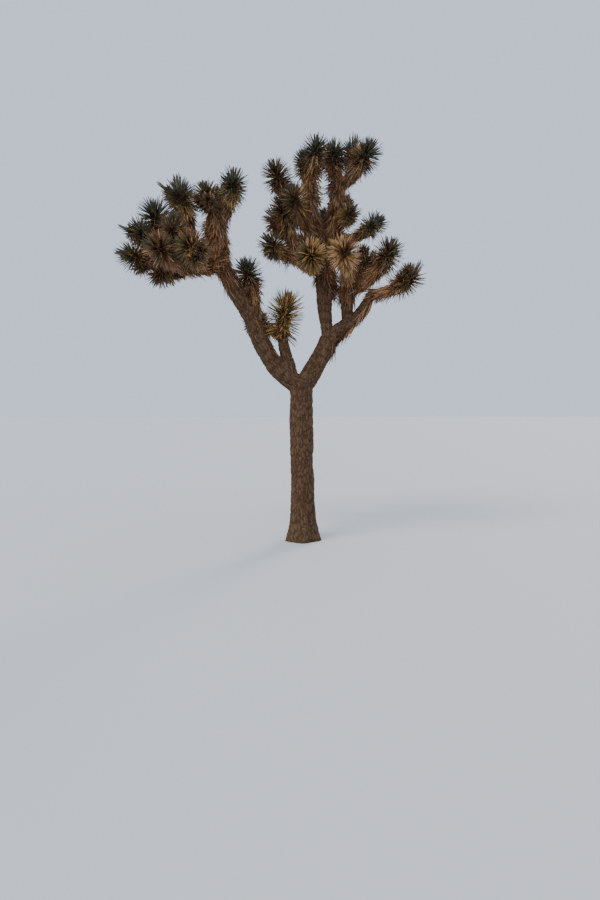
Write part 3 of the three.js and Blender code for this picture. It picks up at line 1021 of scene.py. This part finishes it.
def grain_group():
    """A node group of fine fibres: a mask and a height that change over the surface."""
    known = bpy.data.node_groups.get("Plant fibre")
    if known:
        return known
    tree = bpy.data.node_groups.new("Plant fibre", "ShaderNodeTree")
    face = tree.interface
    face.new_socket("Vector", in_out="INPUT", socket_type="NodeSocketVector")
    for name, value in (("Scale", 40.0), ("Detail", 4.0), ("Contrast", 0.5)):
        socket = face.new_socket(name, in_out="INPUT", socket_type="NodeSocketFloat")
        socket.default_value = value
    face.new_socket("Mask", in_out="OUTPUT", socket_type="NodeSocketFloat")
    face.new_socket("Height", in_out="OUTPUT", socket_type="NodeSocketFloat")
    inside, outside = tree.nodes.new("NodeGroupInput"), tree.nodes.new("NodeGroupOutput")
    broad = node(tree, "ShaderNodeTexNoise", Roughness=0.6)
    fine = node(tree, "ShaderNodeTexNoise", Roughness=0.7)
    finer = node(tree, "ShaderNodeMath", operation="MULTIPLY")
    finer.inputs[1].default_value = 3.7
    both = node(tree, "ShaderNodeMath", operation="ADD")
    half = node(tree, "ShaderNodeMath", operation="MULTIPLY")
    half.inputs[1].default_value = 0.5
    spread = node(tree, "ShaderNodeMapRange", clamp=True, From_Min=0.35, From_Max=0.65)
    lower = node(tree, "ShaderNodeMath", operation="SUBTRACT")
    lower.inputs[0].default_value = 1.0
    for source, out, target, into in (
        (inside, "Vector", broad, "Vector"),
        (inside, "Vector", fine, "Vector"),
        (inside, "Scale", broad, "Scale"),
        (inside, "Detail", broad, "Detail"),
        (inside, "Scale", finer, 0),
        (finer, 0, fine, "Scale"),
        (broad, "Fac", both, 0),
        (fine, "Fac", both, 1),
        (both, 0, half, 0),
        (half, 0, spread, "Value"),
        (inside, "Contrast", lower, 1),
        (lower, 0, spread, "To Min"),
        (spread, "Result", outside, "Mask"),
        (half, 0, outside, "Height"),
    ):
        tree.links.new(source.outputs[out], target.inputs[into])
    return tree


def new_material(name, shine):
    """A new material with its nodes, its shader and its object coordinates."""
    made = bpy.data.materials.new(name)
    made.use_nodes = True
    tree = made.node_tree
    shader = next(n for n in tree.nodes if n.type == "BSDF_PRINCIPLED")
    shader.inputs["Specular IOR Level"].default_value = shine
    place = node(tree, "ShaderNodeTexCoord")
    return made, tree, shader, place.outputs["Object"]


def fibre(tree, where, stretch, scale, detail, contrast):
    """The fibre group on stretched coordinates."""
    mapping = node(tree, "ShaderNodeMapping", Scale=stretch)
    tree.links.new(where, mapping.inputs["Vector"])
    made = node(tree, "ShaderNodeGroup", node_tree=grain_group())
    tree.links.new(mapping.outputs["Vector"], made.inputs["Vector"])
    for name, value in (("Scale", scale), ("Detail", detail), ("Contrast", contrast)):
        made.inputs[name].default_value = value
    return made


def roughen(tree, shader, grain, low, high, strength, distance):
    """Roughness and small relief from the fibres."""
    rough = node(tree, "ShaderNodeMapRange", clamp=True, To_Min=low, To_Max=high)
    tree.links.new(grain.outputs["Mask"], rough.inputs["Value"])
    tree.links.new(rough.outputs["Result"], shader.inputs["Roughness"])
    bump = node(tree, "ShaderNodeBump", Strength=strength, Distance=distance)
    tree.links.new(grain.outputs["Height"], bump.inputs["Height"])
    tree.links.new(bump.outputs["Normal"], shader.inputs["Normal"])


def blend_colours(tree, share, first, second):
    """A mix of two colours or sockets by a share."""
    made = node(tree, "ShaderNodeMix", data_type="RGBA")
    tree.links.new(share, made.inputs[0])
    for socket, value in ((made.inputs[6], first), (made.inputs[7], second)):
        if isinstance(value, bpy.types.NodeSocket):
            tree.links.new(value, socket)
        else:
            socket.default_value = (*value, 1)
    return made.outputs[2]


def bark_material(name, plate, furrow, grey):
    """Weathered corky bark, dark in its furrows."""
    made, tree, shader, where = new_material(name, BARK_SHINE)
    relief = node(tree, "ShaderNodeAttribute", attribute_name="relief")
    grain = fibre(tree, where, (1, 1, 0.3), scale=38, detail=6, contrast=0.75)
    patches = fibre(tree, where, (1, 1, 0.5), scale=3.2, detail=3, contrast=1)
    worn = blend_colours(tree, patches.outputs["Mask"], plate, grey)
    dimmed = [c * GRAIN_SHADE for c in plate]
    grained = blend_colours(tree, grain.outputs["Mask"], dimmed, worn)
    depth = node(tree, "ShaderNodeMapRange", clamp=True, From_Min=0.02, From_Max=0.75)
    tree.links.new(relief.outputs["Fac"], depth.inputs["Value"])
    full = blend_colours(tree, depth.outputs["Result"], furrow, grained)
    tree.links.new(full, shader.inputs["Base Color"])
    roughen(tree, shader, grain, low=0.78, high=1, strength=0.9, distance=0.006)
    return made


def leaf_materials(names, shine, low, high):
    """Stiff leaves of one plain colour each, with a fine grain in their gloss and relief."""
    for name in names:
        made, tree, shader, where = new_material(name.replace("_", " ").capitalize(), shine)
        shader.inputs["Base Color"].default_value = (*getattr(colours(), name), 1)
        grain = fibre(tree, where, (1, 1, 1), scale=160, detail=2, contrast=1)
        roughen(tree, shader, grain, low, high, strength=0.35, distance=0.0015)
        yield made


# Operators


def finish_piece(made, nodes):
    """Gives a piece its body and hides the solids that it stands for."""
    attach(made, BODY)
    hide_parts(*nodes)


class TREE_OT_bark(bpy.types.Operator):
    """Make the trunk and the boughs in furrowed bark"""

    bl_idname = "joshua_tree.bark"
    bl_label = "Trunk and boughs"
    bl_options = {"REGISTER", "UNDO"}

    def execute(self, context):
        s, c = sizes(), colours()
        grown = grow_skeleton()
        bare = [grown[row[0]] for row in LIMBS if row[0] not in CLOTHED_LIMBS]
        parts = []
        for limb in bare:
            parts += tube(limb, TRUNK_RINGS if limb.name == "trunk" else BOUGH_RINGS)
        deselect()
        foot = float(bare[0].core(0.0))
        bpy.ops.mesh.primitive_cylinder_add(
            vertices=32, radius=foot, depth=FOOT_HEIGHT, location=(0, 0, FOOT_MIDDLE)
        )
        parts.append(bpy.context.object)
        made = weld("trunk_and_boughs", parts, s.bark_cell, BARK_ROUNDS)
        carve_bark(made, bare, s.seed)
        flat_cut(made)
        choose(made)
        bpy.ops.object.shade_smooth()
        made.data.materials.clear()
        made.data.materials.append(
            bark_material("Furrowed bark", c.bark_plate, c.bark_furrow, c.bark_grey)
        )
        finish_piece(made, [limb.name for limb in bare])
        return {"FINISHED"}


class TREE_OT_stems(bpy.types.Operator):
    """Make the stems that carry the leaf balls inside the crown"""

    bl_idname = "joshua_tree.stems"
    bl_label = "Stems of the crown"
    bl_options = {"REGISTER", "UNDO"}

    def execute(self, context):
        c = colours()
        grown = grow_skeleton()
        inner = [limb for limb in grown.values() if limb.name in CLOTHED_LIMBS or limb.size]
        parts = []
        for limb in inner:
            parts += tube(limb, STEM_RINGS)
        made = weld("crown_stems", parts, STEM_CELL, STEM_ROUNDS)
        points, normals = corners_of(made.data), corners_of(made.data, "normal")
        rough = soft_noise(points * STEM_LUMPS, sizes().seed + 30) - 0.5
        raise_surface(made.data, points + normals * STEM_DEPTH * rough[:, None], 0.6 + rough)
        choose(made)
        bpy.ops.object.shade_smooth()
        made.data.materials.clear()
        dark = [x * FURROW_SHADE for x in c.stem]
        made.data.materials.append(bark_material("Stem bark", c.stem, dark, c.bark_plate))
        finish_piece(made, sorted({limb.node for limb in inner}))
        return {"FINISHED"}


def part_of_crown(limb, grown):
    """Which part of the crown a limb or ball belongs to, by the limb that carries it."""
    while limb:
        for part, carriers in CROWN_PARTS.items():
            if limb.name in carriers:
                return part
        limb = grown.get(limb.on)
    return None


class TREE_OT_leaves(bpy.types.Operator):
    """Make the balls of live leaves, a piece for each part of the crown"""

    bl_idname = "joshua_tree.leaves"
    bl_label = "Leaf balls"
    bl_options = {"REGISTER", "UNDO"}

    def execute(self, context):
        grown = grow_skeleton()
        materials = list(leaf_materials((*LEAF_COLOURS, "leaf_spine"), *LIVE_GLOSS))
        for part in CROWN_PARTS:
            blades, nodes = Blades(), []
            for order, limb in enumerate(grown.values()):
                if limb.size and part_of_crown(limb, grown) == part:
                    leaf_ball(blades, limb, draws(LIVE_LEAVES, order))
                    nodes.append(limb.node)
            made = blades.build(f"{part}_leaves", materials)
            finish_piece(made, sorted(set(nodes)))
        return {"FINISHED"}


class TREE_OT_dead_leaves(bpy.types.Operator):
    """Make the skirts and coats of dead leaves, a piece for each part of the crown"""

    bl_idname = "joshua_tree.dead_leaves"
    bl_label = "Dead leaves"
    bl_options = {"REGISTER", "UNDO"}

    def execute(self, context):
        grown = grow_skeleton()
        materials = list(leaf_materials(DEAD_COLOURS, *DEAD_GLOSS))
        for part in CROWN_PARTS:
            blades, nodes = Blades(), []
            for order, limb in enumerate(grown.values()):
                if part_of_crown(limb, grown) != part:
                    continue
                rng = draws(DEAD_LEAVES, order)
                long = limb.line.length
                if limb.size:
                    coat(blades, limb, rng, COAT_START, long - COAT_BELOW_BALL * limb.size)
                    nodes.append(limb.node)
                elif limb.name in CLOTHED_LIMBS:
                    coat(blades, limb, rng, 0, long + COAT_PAST_END)
                    nodes.append(limb.name)
                for on, a, b, side, depth, density in PATCHES:
                    if on == limb.name:
                        coat(blades, limb, rng, a * long, b * long, density, side, depth)
            made = blades.build(f"{part}_dead_leaves", materials)
            finish_piece(made, sorted(set(nodes)))
        return {"FINISHED"}


class TREE_OT_stage(bpy.types.Operator):
    """Set up the floor, the light and the camera"""

    bl_idname = "joshua_tree.stage"
    bl_label = "Stage"
    bl_options = {"REGISTER", "UNDO"}

    def execute(self, context):
        g = context.scene.joshua_tree_stage
        deselect()
        bpy.ops.mesh.primitive_plane_add(size=g.floor_width, location=(0, 0, 0))
        floor = context.object
        floor.name = "floor"
        paint = bpy.data.materials.new("Floor")
        paint.use_nodes = True
        shader = next(n for n in paint.node_tree.nodes if n.type == "BSDF_PRINCIPLED")
        shader.inputs["Base Color"].default_value = (*g.floor, 1)
        shader.inputs["Roughness"].default_value = 0.9
        floor.data.materials.append(paint)
        floor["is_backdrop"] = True
        world = bpy.data.worlds.new("Soft surrounding light")
        world.use_nodes = True
        air = next(n for n in world.node_tree.nodes if n.type == "BACKGROUND")
        air.inputs["Color"].default_value = (*g.air, 1)
        air.inputs["Strength"].default_value = g.air_strength
        context.scene.world = world
        for name, heading, height, strength, softness, tint in SUNS:
            aim = (math.pi / 2 - math.radians(height), 0, math.radians(heading))
            bpy.ops.object.light_add(type="SUN", location=(0, 0, 8), rotation=aim)
            lamp = context.object
            lamp.name = name
            lamp.data.energy = strength
            lamp.data.angle = math.radians(softness)
            lamp.data.color = tint
        tilt = math.pi / 2 - g.tilt
        bpy.ops.object.camera_add(
            location=(-g.aside, -g.distance, g.eye_height), rotation=(tilt, 0, 0)
        )
        camera = context.object
        camera.name = "Camera"
        camera.data.lens = g.lens
        camera.data.sensor_fit = "VERTICAL"
        camera.data.sensor_height = camera.data.sensor_width = FRAME_HEIGHT
        context.scene.camera = camera
        return {"FINISHED"}


class TREE_PT_panel(bpy.types.Panel):
    """Lists the sizes, the colours and the steps that make the tree"""

    bl_idname = "TREE_PT_panel"
    bl_label = "Joshua tree"
    bl_space_type = "VIEW_3D"
    bl_region_type = "UI"
    bl_category = "Joshua tree"

    def draw(self, context):
        for step in STEPS:
            self.layout.operator(step.bl_idname)
        for group in (getattr(context.scene, name) for name in GROUPS):
            box = self.layout.box()
            for name in group.bl_rna.properties.keys():
                if name not in ("rna_type", "name"):
                    box.prop(group, name)


STEPS = (TREE_OT_bark, TREE_OT_stems, TREE_OT_leaves, TREE_OT_dead_leaves, TREE_OT_stage)
GROUPS = {
    "joshua_tree_sizes": TreeSizes,
    "joshua_tree_colours": TreeColours,
    "joshua_tree_stage": StageSettings,
}


def register():
    """Adds the classes and the scene's settings."""
    for cls in (*GROUPS.values(), *STEPS, TREE_PT_panel):
        bpy.utils.register_class(cls)
    for name, cls in GROUPS.items():
        setattr(bpy.types.Scene, name, bpy.props.PointerProperty(type=cls))


def unregister():
    """Takes them away again."""
    for name in GROUPS:
        delattr(bpy.types.Scene, name)
    for cls in reversed((*GROUPS.values(), *STEPS, TREE_PT_panel)):
        bpy.utils.unregister_class(cls)


def main():
    """Makes the tree."""
    register()
    bpy.ops.joshua_tree.stage()
    bpy.ops.joshua_tree.bark()
    bpy.ops.joshua_tree.stems()
    bpy.ops.joshua_tree.leaves()
    bpy.ops.joshua_tree.dead_leaves()
    boxes = {
        name: [list(corner) for corner in box]
        for name, box in (("cad", CAD_BOX), ("visual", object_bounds()))
    }


if __name__ == "__main__":
    main()
